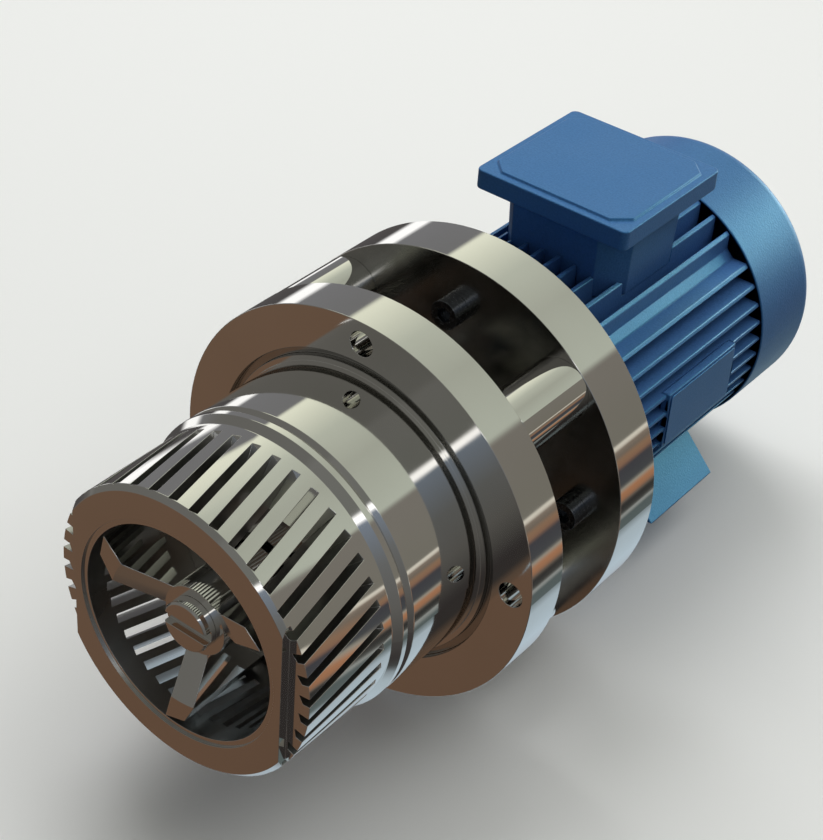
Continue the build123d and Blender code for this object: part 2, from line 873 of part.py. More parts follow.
# Motor: drive-end shield with its flange and pilot
front_bearing_back_y = front_bearing_y + bearing_width
seal_pocket_back_y = pilot_front_y + shaft_seal_length + shaft_seal_setback
front_shield_screw_seat_y = pilot_front_y + shield_screw_head_length + screw_gap
with BuildPart() as front_end_shield:
    with BuildSketch(Plane.XY):
        with BuildLine():
            Polyline(
                (shaft_seal_r + fit_gap, pilot_front_y),
                (motor_pilot_r, pilot_front_y),
                (motor_pilot_r, motor_face_y),
                (motor_flange_r, motor_face_y),
                (motor_flange_r, adapter_back_y),
                (frame_bore_r - fit_gap, adapter_back_y),
                (frame_bore_r - fit_gap, adapter_back_y + shield_rim_length),
                (frame_bore_r - shield_rim_t, adapter_back_y + shield_rim_length),
                (frame_bore_r - shield_rim_t, adapter_back_y),
                (shield_hub_r, adapter_back_y),
                (shield_hub_r, front_bearing_back_y),
                (bearing_outer_r + fit_gap, front_bearing_back_y),
                (bearing_outer_r + fit_gap, front_bearing_y),
                (shaft_end_r + shaft_passage_gap, front_bearing_y),
                (shaft_end_r + shaft_passage_gap, seal_pocket_back_y),
                (shaft_seal_r + fit_gap, seal_pocket_back_y),
                close=True,
            )
        make_face()
    revolve(axis=Axis.Y)
    with BuildSketch(across(motor_face_y)):
        with PolarLocations(motor_bolt_circle_r, motor_bolt_count):
            Circle(motor_bolt_r + fit_gap)
    extrude(amount=-motor_flange_t, mode=Mode.SUBTRACT)
    with BuildSketch(across(pilot_front_y)):
        with PolarLocations(shield_screw_circle_r, shield_screw_count, shield_screw_start):
            Circle(shield_screw_r + screw_gap)
    extrude(amount=pilot_front_y - adapter_back_y, mode=Mode.SUBTRACT)
    with BuildSketch(across(pilot_front_y)):
        with PolarLocations(shield_screw_circle_r, shield_screw_count, shield_screw_start):
            Circle(shield_screw_head_r + screw_gap)
    extrude(amount=pilot_front_y - front_shield_screw_seat_y, mode=Mode.SUBTRACT)
save(front_end_shield.part, "front_end_shield")

front_shield_screws = cap_screws(
    front_shield_screw_seat_y,
    1,
    shield_screw_circle_r,
    shield_screw_count,
    shield_screw_start,
    shield_screw_r,
    frame_front_y - front_shield_screw_seat_y + shield_screw_grip,
    shield_screw_head_r,
    shield_screw_head_length,
)
save(front_shield_screws, "front_shield_screws")

shaft_seal_front_y = seal_pocket_back_y - shaft_seal_length
motor_shaft_seal = ring(
    shaft_end_r + running_gap, shaft_seal_r, shaft_seal_front_y, seal_pocket_back_y
)
save(motor_shaft_seal, "motor_shaft_seal")

# Motor frame: a tube with straight fins, corner rails, and pads for the box, plate and feet
fin_outer_face = (fin_pairs - 0.5) * fin_pitch + fin_t / 2
corner_root = sqrt(2) * (fin_outer_face - corner_depth)
corner_half = corner_flat_distance - sqrt(2) * fin_outer_face


def box_outline(inset):
    """The terminal box's outline seen from above, with cut corners, drawn in by inset."""
    with BuildSketch() as outline:
        with Locations((0, box_mid_y)):
            Polygon(
                (-box_half_width, box_length / 2 - box_corner_y),
                (-box_half_width, box_corner_y - box_length / 2),
                (box_corner_x - box_half_width, -box_length / 2),
                (box_half_width - box_corner_x, -box_length / 2),
                (box_half_width, box_corner_y - box_length / 2),
                (box_half_width, box_length / 2 - box_corner_y),
                (box_half_width - box_corner_x, box_length / 2),
                (box_corner_x - box_half_width, box_length / 2),
                align=None,
            )
        if inset:
            offset(amount=-inset, kind=Kind.INTERSECTION, mode=Mode.REPLACE)
    return outline.sketch


lead_hole_y = box_back_y - box_lead_hole_from_end
draft_shift = (box_rim_z - box_base_z) * tan(radians(box_draft_angle))
nameplate_y = frame_front_y + nameplate_from_frame + nameplate_length / 2
foot_screw_seat_z = foot_screw_head_length + screw_gap - foot_height
with BuildPart() as motor_frame:
    with BuildSketch(across(frame_front_y)):
        with GridLocations(0, fin_pitch, 1, 2 * fin_pairs):
            Rectangle(2 * fin_r, fin_t)
        with GridLocations(fin_pitch, 0, 2 * fin_pairs, 1):
            Rectangle(fin_t, 2 * fin_r)
        Circle(fin_r, mode=Mode.INTERSECT)
        Circle(frame_core_r)
        with PolarLocations(0, 4, 45):
            Polygon(
                (corner_root, 0),
                (corner_flat_distance, -corner_half),
                (corner_flat_distance, corner_half),
                align=None,
            )
        with PolarLocations(corner_lug_circle_r, 4, 45):
            Circle(corner_lug_r)
    extrude(amount=-frame_length)
    # Pad under the terminal box, with the fins cleared away above it
    with BuildSketch(Plane.XY.offset(box_base_z)):
        add(box_outline(draft_shift - cover_gap))
    extrude(amount=2 * fin_r - box_base_z, taper=-box_draft_angle, mode=Mode.SUBTRACT)
    with BuildSketch(Plane.XY.offset(box_base_z)):
        add(box_outline(draft_shift + box_pad_inset))
    extrude(amount=-box_pad_t)
    # Pads above the feet, with the fins cleared away below them
    for side in (1, -1):
        with BuildSketch(across(foot_front_y - cover_gap)):
            with Locations((side * (foot_web_x + foot_top_x) / 2, foot_seat_z)):
                Rectangle(
                    foot_top_x - foot_web_x + 2 * cover_gap,
                    foot_seat_height,
                    align=(Align.CENTER, Align.MAX),
                )
        extrude(amount=-(foot_length + 2 * cover_gap), mode=Mode.SUBTRACT)
        with BuildSketch(across(foot_front_y)):
            with Locations((side * (foot_web_x + foot_top_x) / 2, foot_seat_z)):
                Rectangle(foot_top_x - foot_web_x, foot_pad_t, align=(Align.CENTER, Align.MIN))
        extrude(amount=-foot_length)
    # Pad for the nameplate, across the tips of the side fins
    with BuildSketch(Plane.YZ.offset(nameplate_pad_x)):
        with Locations((nameplate_y, 0)):
            Rectangle(nameplate_length, nameplate_height)
    extrude(amount=-nameplate_pad_t)
    # Bore, tapped holes and the hole for the leads
    with BuildSketch(across(frame_front_y)):
        Circle(frame_bore_r)
    extrude(amount=-frame_length, mode=Mode.SUBTRACT)
    for end_y, inwards in ((frame_front_y, -1), (frame_back_y, 1)):
        with BuildSketch(across(end_y)):
            with PolarLocations(shield_screw_circle_r, shield_screw_count, shield_screw_start):
                Circle(shield_screw_r + fit_gap)
        extrude(amount=inwards * (shield_screw_grip + hole_extra), mode=Mode.SUBTRACT)
    with BuildSketch(Plane.XY.offset(box_base_z)):
        with Locations((0, lead_hole_y)):
            Circle(box_lead_hole_r)
    extrude(amount=-box_base_z, mode=Mode.SUBTRACT)
    with BuildSketch(Plane.XY.offset(box_base_z)):
        with Locations((0, box_mid_y)):
            with GridLocations(2 * box_screw_x, box_screw_spacing_y, 2, 2):
                Circle(box_screw_r + fit_gap)
    extrude(amount=-(box_screw_grip + hole_extra), mode=Mode.SUBTRACT)
    with BuildSketch(Plane.XY.offset(foot_seat_z)):
        with Locations((0, foot_mid_y)):
            with GridLocations(2 * foot_screw_x, foot_screw_spacing_y, 2, 2):
                Circle(foot_screw_r + fit_gap)
    extrude(amount=foot_screw_grip + hole_extra, mode=Mode.SUBTRACT)
save(motor_frame.part, "motor_frame")

# Nameplate, left bare
with BuildPart() as nameplate:
    with BuildSketch(Plane.YZ.offset(nameplate_pad_x)):
        with Locations((nameplate_y, 0)):
            RectangleRounded(
                nameplate_length - 2 * nameplate_margin,
                nameplate_height - 2 * nameplate_margin,
                nameplate_corner_r,
            )
    extrude(amount=nameplate_t)
save(nameplate.part, "nameplate")

# Feet, screwed up into the frame's pads
with BuildPart() as motor_feet:
    for side in (1, -1):
        with BuildSketch(across(foot_front_y)):
            Polygon(
                (side * foot_web_x, foot_seat_z),
                (side * foot_top_x, foot_seat_z),
                (side * foot_outer_x, -foot_height),
                (side * foot_inner_x, -foot_height),
                (side * foot_web_x, foot_seat_z - foot_heel),
                align=None,
            )
        extrude(amount=-foot_length)
    with BuildSketch(Plane.XY.offset(-foot_height)):
        with Locations((0, foot_mid_y)):
            with GridLocations(2 * foot_screw_x, foot_screw_spacing_y, 2, 2):
                Circle(foot_screw_r + screw_gap)
    extrude(amount=foot_seat_height, mode=Mode.SUBTRACT)
    with BuildSketch(Plane.XY.offset(-foot_height)):
        with Locations((0, foot_mid_y)):
            with GridLocations(2 * foot_screw_x, foot_screw_spacing_y, 2, 2):
                Circle(foot_screw_head_r + screw_gap)
    extrude(amount=foot_screw_head_length + screw_gap, mode=Mode.SUBTRACT)
    with BuildSketch(Plane.XY.offset(-foot_height)):
        with Locations((0, foot_mid_y)):
            with GridLocations(2 * foot_hole_x, foot_hole_spacing_y, 2, 2):
                Circle(foot_hole_r)
    extrude(amount=foot_hole_depth, mode=Mode.SUBTRACT)
save(motor_feet.part, "motor_feet")

with BuildPart() as foot_screws:
    with BuildSketch(Plane.XY.offset(foot_screw_seat_z)):
        with Locations((0, foot_mid_y)):
            with GridLocations(2 * foot_screw_x, foot_screw_spacing_y, 2, 2):
                Circle(foot_screw_head_r)
                RegularPolygon(socket_share * foot_screw_head_r, 6, mode=Mode.SUBTRACT)
    extrude(amount=-foot_screw_head_length)
    with BuildSketch(Plane.XY.offset(foot_screw_seat_z - foot_screw_head_length / 2)):
        with Locations((0, foot_mid_y)):
            with GridLocations(2 * foot_screw_x, foot_screw_spacing_y, 2, 2):
                Circle(foot_screw_r)
    extrude(amount=foot_seat_z - foot_screw_seat_z + foot_screw_head_length / 2 + foot_screw_grip)
save(foot_screws.part, "foot_screws")

# Rear end shield with the four posts that carry the cowl
rear_bearing_back_y = rear_bearing_y + bearing_width
rear_shield_screw_seat_y = rear_shield_back_y - shield_screw_head_length - screw_gap
cowl_inner_back_y = cowl_back_y - cowl_wall
with BuildPart() as rear_end_shield:
    with BuildSketch(Plane.XY):
        with BuildLine():
            Polyline(
                (bearing_outer_r + fit_gap, rear_bearing_y),
                (shield_hub_r, rear_bearing_y),
                (shield_hub_r, frame_back_y),
                (frame_bore_r - shield_rim_t, frame_back_y),
                (frame_bore_r - shield_rim_t, frame_back_y - shield_rim_length),
                (frame_bore_r - fit_gap, frame_back_y - shield_rim_length),
                (frame_bore_r - fit_gap, frame_back_y),
                (rear_shield_r, frame_back_y),
                (rear_shield_r, rear_shield_back_y),
                (bearing_bore_r + shaft_passage_gap, rear_shield_back_y),
                (bearing_bore_r + shaft_passage_gap, rear_bearing_back_y),
                (bearing_outer_r + fit_gap, rear_bearing_back_y),
                close=True,
            )
        make_face()
    revolve(axis=Axis.Y)
    with BuildSketch(across(frame_back_y)):
        with PolarLocations(shield_screw_circle_r, shield_screw_count, shield_screw_start):
            Circle(shield_screw_r + screw_gap)
    extrude(amount=-rear_shield_t, mode=Mode.SUBTRACT)
    with BuildSketch(across(rear_shield_screw_seat_y)):
        with PolarLocations(shield_screw_circle_r, shield_screw_count, shield_screw_start):
            Circle(shield_screw_head_r + screw_gap)
    extrude(amount=rear_shield_screw_seat_y - rear_shield_back_y, mode=Mode.SUBTRACT)
    with BuildSketch(across(rear_shield_back_y)):
        with PolarLocations(cowl_post_circle_r, cowl_post_count):
            Circle(cowl_post_r)
    extrude(amount=rear_shield_back_y - cowl_inner_back_y)
    with BuildSketch(across(cowl_inner_back_y)):
        with PolarLocations(cowl_post_circle_r, cowl_post_count):
            Circle(cowl_screw_r + fit_gap)
    extrude(amount=cowl_screw_grip + hole_extra, mode=Mode.SUBTRACT)
save(rear_end_shield.part, "rear_end_shield")

rear_shield_screws = cap_screws(
    rear_shield_screw_seat_y,
    -1,
    shield_screw_circle_r,
    shield_screw_count,
    shield_screw_start,
    shield_screw_r,
    rear_shield_screw_seat_y - frame_back_y + shield_screw_grip,
    shield_screw_head_r,
    shield_screw_head_length,
)
save(rear_shield_screws, "rear_shield_screws")

# Wound stator core, windings and the rotor's core and end rings
stator_core = ring(rotor_core_r + air_gap, frame_bore_r - fit_gap, core_front_y, core_back_y)
save(stator_core, "stator_core")

with BuildPart() as stator_windings:
    for middle_y in (core_front_y - winding_length / 2, core_back_y + winding_length / 2):
        with BuildSketch(Plane.XY):
            with Locations(((winding_inner_r + winding_outer_r) / 2, middle_y)):
                RectangleRounded(
                    winding_outer_r - winding_inner_r, winding_length, winding_corner_r
                )
        revolve(axis=Axis.Y)
save(stator_windings.part, "stator_windings")

rotor_core = ring(shaft_core_r + fit_gap, rotor_core_r, core_front_y, core_back_y)
save(rotor_core, "rotor_core")

with BuildPart() as cage_end_rings:
    add(ring(end_ring_inner_r, end_ring_r, core_front_y - end_ring_length, core_front_y))
    add(ring(end_ring_inner_r, end_ring_r, core_back_y, core_back_y + end_ring_length))
save(cage_end_rings.part, "cage_end_rings")

# Ball bearings: outer rings stand still, inner rings and balls turn
for place, start_y in (("front", front_bearing_y), ("rear", rear_bearing_y)):
    mid_y = start_y + bearing_width / 2
    with BuildPart() as bearing_outer:
        with BuildSketch(Plane.XY):
            with Locations(((bearing_land_outer_r + bearing_outer_r) / 2, mid_y)):
                Rectangle(bearing_outer_r - bearing_land_outer_r, bearing_width)
            with Locations((ball_circle_r, mid_y)):
                Circle(ball_r + running_gap, mode=Mode.SUBTRACT)
        revolve(axis=Axis.Y)
    save(bearing_outer.part, f"{place}_bearing_outer")
    with BuildPart() as bearing_inner:
        with BuildSketch(Plane.XY):
            with Locations(((bearing_bore_r + bearing_land_inner_r) / 2, mid_y)):
                Rectangle(bearing_land_inner_r - bearing_bore_r, bearing_width)
            with Locations((ball_circle_r, mid_y)):
                Circle(ball_r + running_gap, mode=Mode.SUBTRACT)
        revolve(axis=Axis.Y)
    save(bearing_inner.part, f"{place}_bearing_inner")
    with BuildPart(across(mid_y)) as bearing_balls:
        with PolarLocations(ball_circle_r, ball_count):
            Sphere(ball_r)
    save(bearing_balls.part, f"{place}_bearing_balls")

# Motor shaft, stepped from the coupling end to the fan end
shaft_tail_y = rear_bearing_back_y + shaft_tail_length
circlip_front_y = fan_front_y + fan_hub_length + fit_gap
with BuildPart() as motor_shaft:
    with BuildSketch(Plane.XY):
        with BuildLine():
            Polyline(
                (0, motor_shaft_front_y),
                (shaft_end_r, motor_shaft_front_y),
                (shaft_end_r, front_bearing_y),
                (bearing_bore_r - fit_gap, front_bearing_y),
                (bearing_bore_r - fit_gap, front_bearing_back_y),
                (shaft_core_r, front_bearing_back_y),
                (shaft_core_r, rear_bearing_y),
                (bearing_bore_r - fit_gap, rear_bearing_y),
                (bearing_bore_r - fit_gap, rear_bearing_back_y),
                (shaft_fan_r, rear_bearing_back_y),
                (shaft_fan_r, shaft_tail_y),
                (0, shaft_tail_y),
                close=True,
            )
        make_face()
        with Locations((shaft_fan_r, circlip_front_y + circlip_t / 2)):
            Rectangle(2 * circlip_groove_depth, circlip_t + 2 * fit_gap, mode=Mode.SUBTRACT)
    revolve(axis=Axis.Y)
    with BuildSketch(Plane.XY.offset(coupling_key_floor_z)):
        with Locations((0, set_screw_mid_y)):
            Rectangle(key_width + 2 * fit_gap, coupling_key_length + 2 * fit_gap)
    extrude(amount=key_height, mode=Mode.SUBTRACT)
save(motor_shaft.part, "motor_shaft")

# Cooling fan with straight blades, and the circlip that keeps it on
with BuildPart() as cooling_fan:
    with BuildSketch(across(fan_front_y)):
        Circle(fan_disc_r)
    extrude(amount=-fan_disc_t)
    with BuildSketch(across(fan_front_y)):
        with PolarLocations((fan_hub_r + fan_r - fan_blade_root) / 2, fan_blade_count):
            Rectangle(fan_r - fan_hub_r + fan_blade_root, fan_blade_t)
    extrude(amount=-fan_blade_length)
    with BuildSketch(across(fan_front_y)):
        Circle(fan_hub_r)
    extrude(amount=-fan_hub_length)
    with BuildSketch(across(fan_front_y)):
        Circle(shaft_fan_r + fit_gap)
    extrude(amount=-fan_blade_length, mode=Mode.SUBTRACT)
save(cooling_fan.part, "cooling_fan")

with BuildPart() as fan_circlip:
    with BuildSketch(across(circlip_front_y)):
        Circle(circlip_r)
        Circle(shaft_fan_r - circlip_groove_depth + fit_gap, mode=Mode.SUBTRACT)
        with Locations((0, circlip_r)):
            Rectangle(shaft_fan_r, 2 * circlip_r, mode=Mode.SUBTRACT)
    extrude(amount=-circlip_t)
save(fan_circlip.part, "fan_circlip")

# Fan cowl: a spun shell with a grille of ring slots between spokes
with BuildPart() as fan_cowl:
    with BuildSketch(Plane.XY):
        with BuildLine():
            FilletPolyline(
                (0, cowl_back_y),
                (cowl_flat_r, cowl_back_y),
                (cowl_r, cowl_back_y - cowl_slope_length),
                (cowl_r, cowl_front_y),
                radius=cowl_bend_r,
            )
            Polyline((cowl_r, cowl_front_y), (0, cowl_front_y), (0, cowl_back_y))
        make_face()
    revolve(axis=Axis.Y)
    offset(amount=-cowl_wall, openings=fan_cowl.faces().sort_by(Axis.Y)[0])
    with BuildSketch(across(cowl_back_y)):
        for number in reversed(range(grille_rings)):
            slot_r = grille_first_r + number * grille_pitch
            Circle(slot_r + grille_slot_width / 2)
            Circle(slot_r - grille_slot_width / 2, mode=Mode.SUBTRACT)
        with PolarLocations(cowl_post_circle_r / 2, grille_spokes):
            Rectangle(cowl_post_circle_r, grille_spoke_width, mode=Mode.SUBTRACT)
        with PolarLocations(cowl_post_circle_r, cowl_post_count):
            Circle(cowl_screw_r + screw_gap)
    extrude(amount=cowl_back_y - cowl_front_y, mode=Mode.SUBTRACT)
save(fan_cowl.part, "fan_cowl")

cowl_screws = cap_screws(
    cowl_back_y,
    -1,
    cowl_post_circle_r,
    cowl_post_count,
    0,
    cowl_screw_r,
    cowl_wall + cowl_screw_grip,
    cowl_screw_head_r,
    cowl_screw_head_length,
)
save(cowl_screws, "cowl_screws")

# Terminal box: a drafted cast box with a rim, two cable entries and a lead hole
box_top_z = box_rim_z + box_rim_t
box_floor_z = box_base_z + box_floor_t
lid_hole_x = box_half_width - lid_screw_inset
lid_hole_y = box_length / 2 - lid_screw_inset
entry_x = -(box_half_width + entry_boss_proud)
entry_y = box_back_y - box_corner_y - entry_boss_r
entry_plane = Plane(origin=(entry_x, entry_y, entry_z), x_dir=(0, -1, 0), z_dir=(-1, 0, 0))
plug_plane = Plane(
    origin=(0, box_back_y + entry_boss_proud, plug_z), x_dir=(-1, 0, 0), z_dir=(0, 1, 0)
)
entry_root = box_wall + entry_boss_proud
with BuildPart() as terminal_box:
    with BuildSketch(Plane.XY.offset(box_rim_z)):
        add(box_outline(0))
    extrude(amount=box_base_z - box_rim_z, taper=box_draft_angle)
    with BuildSketch(Plane.XY.offset(box_rim_z)):
        with Locations((0, box_mid_y)):
            Rectangle(
                2 * (box_half_width + box_rim_overhang), box_length + 2 * box_rim_overhang
            )
    extrude(amount=box_rim_t)
    for plane, boss_r in ((entry_plane, entry_boss_r), (plug_plane, plug_boss_r)):
        with BuildSketch(plane):
            Circle(boss_r)
        extrude(amount=-entry_root)
    with BuildSketch(Plane.XY.offset(box_top_z)):
        add(box_outline(box_wall))
    extrude(amount=box_floor_z - box_top_z, taper=box_draft_angle, mode=Mode.SUBTRACT)
    for plane, thread_r in ((entry_plane, entry_thread_r), (plug_plane, plug_thread_r)):
        with BuildSketch(plane):
            Circle(thread_r + fit_gap)
        extrude(amount=-2 * entry_root, mode=Mode.SUBTRACT)
    with BuildSketch(Plane.XY.offset(box_base_z)):
        with Locations((0, lead_hole_y)):
            Circle(box_lead_hole_r)
        with Locations((0, box_mid_y)):
            with GridLocations(2 * box_screw_x, box_screw_spacing_y, 2, 2):
                Circle(box_screw_r + screw_gap)
    extrude(amount=box_floor_t, mode=Mode.SUBTRACT)
    with BuildSketch(Plane.XY.offset(box_rim_z)):
        with Locations((0, box_mid_y)):
            with GridLocations(2 * lid_hole_x, 2 * lid_hole_y, 2, 2):
                Circle(lid_screw_r + screw_gap)
    extrude(amount=box_rim_t, mode=Mode.SUBTRACT)
save(terminal_box.part, "terminal_box")

with BuildPart() as terminal_box_screws:
    with BuildSketch(Plane.XY.offset(box_floor_z)):
        with Locations((0, box_mid_y)):
            with GridLocations(2 * box_screw_x, box_screw_spacing_y, 2, 2):
                Circle(box_screw_head_r)
    extrude(amount=box_screw_head_length)
    with BuildSketch(Plane.XY.offset(box_floor_z)):
        with Locations((0, box_mid_y)):
            with GridLocations(2 * box_screw_x, box_screw_spacing_y, 2, 2):
                Circle(box_screw_r)
    extrude(amount=-(box_floor_t + box_screw_grip))
save(terminal_box_screws.part, "terminal_box_screws")

# Gasket, lid with its skirt and raised panel, and the lid's screws from below
gasket_top_z = box_top_z + gasket_t
lid_bottom_z = gasket_top_z + lid_plate_t - lid_height
lid_top_z = gasket_top_z + lid_plate_t
lid_half_length = box_length / 2 + lid_overhang_y
rim_half_width = box_half_width + box_rim_overhang
rim_half_length = box_length / 2 + box_rim_overhang
with BuildPart() as lid_gasket:
    with BuildSketch(Plane.XY.offset(box_top_z)):
        with Locations((0, box_mid_y)):
            Rectangle(2 * rim_half_width, 2 * rim_half_length)
            Rectangle(
                2 * (rim_half_width - gasket_width),
                2 * (rim_half_length - gasket_width),
                mode=Mode.SUBTRACT,
            )
            with GridLocations(2 * lid_hole_x, 2 * lid_hole_y, 2, 2):
                Circle(lid_screw_r + screw_gap, mode=Mode.SUBTRACT)
    extrude(amount=gasket_t)
save(lid_gasket.part, "lid_gasket")

with BuildPart() as terminal_lid:
    with BuildSketch(Plane.XY.offset(lid_bottom_z)):
        with Locations((0, box_mid_y)):
            RectangleRounded(2 * lid_half_width, 2 * lid_half_length, lid_corner_r)
    extrude(amount=lid_height)
    with BuildSketch(Plane.XY.offset(lid_bottom_z)):
        with Locations((0, box_mid_y)):
            Rectangle(
                2 * (lid_half_width - lid_skirt_t),
                2 * (lid_half_length - lid_skirt_t),
            )
    extrude(amount=lid_height - lid_plate_t, mode=Mode.SUBTRACT)
    with BuildSketch(Plane.XY.offset(lid_top_z)):
        with Locations((0, box_mid_y)):
            Rectangle(
                2 * (lid_half_width - lid_panel_inset), 2 * (lid_half_length - lid_panel_inset)
            )
        chamfer(vertices(), length=lid_panel_corner)
    extrude(amount=lid_panel_t)
    with BuildSketch(Plane.XY.offset(gasket_top_z)):
        with Locations((0, box_mid_y)):
            with GridLocations(2 * lid_hole_x, 2 * lid_hole_y, 2, 2):
                Circle(lid_screw_r + fit_gap)
    extrude(amount=lid_screw_grip, mode=Mode.SUBTRACT)
save(terminal_lid.part, "terminal_lid")

with BuildPart() as lid_screws:
    with BuildSketch(Plane.XY.offset(box_rim_z)):
        with Locations((0, box_mid_y)):
            with GridLocations(2 * lid_hole_x, 2 * lid_hole_y, 2, 2):
                Circle(lid_screw_head_r)
    extrude(amount=-lid_screw_head_length)
    with BuildSketch(Plane.XY.offset(box_rim_z)):
        with Locations((0, box_mid_y)):
            with GridLocations(2 * lid_hole_x, 2 * lid_hole_y, 2, 2):
                Circle(lid_screw_r)
    extrude(amount=box_rim_t + gasket_t + lid_screw_grip - fit_gap)
save(lid_screws.part, "lid_screws")

# Terminal block, its studs with nuts, and the three links
block_top_z = box_floor_z + block_height
with BuildPart() as terminal_block:
    with BuildSketch(Plane.XY.offset(box_floor_z)):
        with Locations((0, box_mid_y)):
            Rectangle(block_width, block_depth)
    extrude(amount=block_height)
    with BuildSketch(Plane.XY.offset(block_top_z)):
        with Locations((0, box_mid_y)):
            with GridLocations(stud_pitch, stud_row_gap, 3, 2):
                Circle(stud_r + fit_gap)
    extrude(amount=-block_height / 2, mode=Mode.SUBTRACT)
save(terminal_block.part, "terminal_block")

with BuildPart() as terminal_studs:
    with BuildSketch(Plane.XY.offset(block_top_z - block_height / 2 + fit_gap)):
        with Locations((0, box_mid_y)):
            with GridLocations(stud_pitch, stud_row_gap, 3, 2):
                Circle(stud_r)
    extrude(amount=block_height / 2 + stud_length)
    with BuildSketch(Plane.XY.offset(block_top_z + link_t)):
        with Locations((0, box_mid_y)):
            with GridLocations(stud_pitch, stud_row_gap, 3, 2):
                RegularPolygon(stud_nut_r, 6)
    extrude(amount=stud_nut_t)
save(terminal_studs.part, "terminal_studs")

with BuildPart() as terminal_links:
    with BuildSketch(Plane.XY.offset(block_top_z)):
        with Locations((0, box_mid_y)):
            with GridLocations(stud_pitch, 0, 3, 1):
                Rectangle(link_width, stud_row_gap + link_width)
            with GridLocations(stud_pitch, stud_row_gap, 3, 2):
                Circle(stud_r + fit_gap, mode=Mode.SUBTRACT)
    extrude(amount=link_t)
save(terminal_links.part, "terminal_links")

# Cable gland with its dome nut in the side entry, and the plug in the rear one
with BuildPart() as cable_gland:
    with BuildSketch(entry_plane):
        RegularPolygon(gland_hex_r, 6)
    extrude(amount=gland_hex_length)
    with BuildSketch(entry_plane):
        Circle(entry_thread_r)
    extrude(amount=-entry_thread_length)
    with BuildSketch(entry_plane.offset(gland_hex_length)):
        Circle(gland_collar_r)
    extrude(amount=gland_collar_length)
    with BuildSketch(entry_plane.offset(-entry_thread_length)):
        Circle(gland_bore_r)
    extrude(
        amount=entry_thread_length + gland_hex_length + gland_collar_length, mode=Mode.SUBTRACT
    )
save(cable_gland.part, "cable_gland")

gland_nut_plane = entry_plane.offset(gland_hex_length + fit_gap)
with BuildPart() as gland_nut:
    with BuildSketch(gland_nut_plane):
        Circle(gland_nut_r)
    extrude(amount=gland_nut_length)
    fillet(gland_nut.edges().filter_by(GeomType.CIRCLE).sort_by(Axis.X)[0], gland_nut_dome_r)
    with BuildSketch(gland_nut_plane):
        Circle(gland_collar_r + fit_gap)
    extrude(amount=gland_collar_length, mode=Mode.SUBTRACT)
    with BuildSketch(gland_nut_plane):
        Circle(gland_bore_r)
    extrude(amount=gland_nut_length, mode=Mode.SUBTRACT)
save(gland_nut.part, "gland_nut")

with BuildPart() as blanking_plug:
    with BuildSketch(plug_plane):
        RegularPolygon(plug_hex_r, 6)
    extrude(amount=plug_head_length)
    with BuildSketch(plug_plane):
        Circle(plug_thread_r)
    extrude(amount=-entry_thread_length)
save(blanking_plug.part, "blanking_plug")
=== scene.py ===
"""Looks of the high shear mixer: finishes, rounded edges, studio and camera.

Metres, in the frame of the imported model: the shaft line is Y, +Y towards the motor's fan, +Z up.
"""

import json
import math

import bmesh
import bpy
from mathutils import Matrix, Vector
from mathutils.bvhtree import BVHTree

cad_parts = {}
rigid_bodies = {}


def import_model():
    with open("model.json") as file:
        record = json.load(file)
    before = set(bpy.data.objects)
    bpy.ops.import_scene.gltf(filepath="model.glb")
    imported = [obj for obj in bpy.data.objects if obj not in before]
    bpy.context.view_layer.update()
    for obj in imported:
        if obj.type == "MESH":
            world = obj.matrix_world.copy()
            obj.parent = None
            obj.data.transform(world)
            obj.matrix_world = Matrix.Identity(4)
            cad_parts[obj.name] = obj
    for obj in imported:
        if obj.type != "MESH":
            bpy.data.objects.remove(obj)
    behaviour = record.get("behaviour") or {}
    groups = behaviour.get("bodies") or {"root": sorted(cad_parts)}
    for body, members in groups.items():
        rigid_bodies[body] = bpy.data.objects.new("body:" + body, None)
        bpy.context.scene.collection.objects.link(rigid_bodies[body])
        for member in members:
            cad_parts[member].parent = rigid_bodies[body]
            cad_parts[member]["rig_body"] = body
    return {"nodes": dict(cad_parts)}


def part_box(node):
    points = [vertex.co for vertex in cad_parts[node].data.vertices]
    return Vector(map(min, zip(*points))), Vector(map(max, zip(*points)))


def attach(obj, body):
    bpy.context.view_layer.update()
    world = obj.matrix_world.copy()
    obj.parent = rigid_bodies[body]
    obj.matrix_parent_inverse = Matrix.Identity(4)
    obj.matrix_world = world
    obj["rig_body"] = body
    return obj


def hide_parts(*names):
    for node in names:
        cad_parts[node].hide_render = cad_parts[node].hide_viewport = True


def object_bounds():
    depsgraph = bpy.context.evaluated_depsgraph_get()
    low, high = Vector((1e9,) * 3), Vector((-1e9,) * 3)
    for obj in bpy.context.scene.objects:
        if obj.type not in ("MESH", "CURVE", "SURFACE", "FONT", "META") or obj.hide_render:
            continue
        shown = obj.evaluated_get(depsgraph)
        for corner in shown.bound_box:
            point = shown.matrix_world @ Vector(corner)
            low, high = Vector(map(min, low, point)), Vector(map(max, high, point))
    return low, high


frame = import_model()
cad_low, cad_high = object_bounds()

MM = 0.001

# Camera: fitted to the photograph, in an image of 823 x 840 pixels
IMAGE_HEIGHT = 840
FOCAL_PIXELS = 2021
SENSOR = 36.0
VIEW_DEPTH = 50.0
CAMERA_PLACE = Vector((0.4757, -0.6208, 0.6345))
CAMERA_AZIMUTH = math.radians(35.53)
CAMERA_ELEVATION = math.radians(36.49)
CAMERA_ROLL = math.radians(4.56)

# Studio: the floor, the distances over which it starts to glow, and the width of the seam
# between what is mirrored in front and behind
FLOOR_Z = cad_low.z
FLOOR_HALF = 20.0
FLOOR_COLOUR = (0.87, 0.87, 0.88, 1)
FLOOR_ROUGHNESS = 0.6
FLOOR_FADE = (1.0, 3.5)
STUDIO_SEAM = 0.1

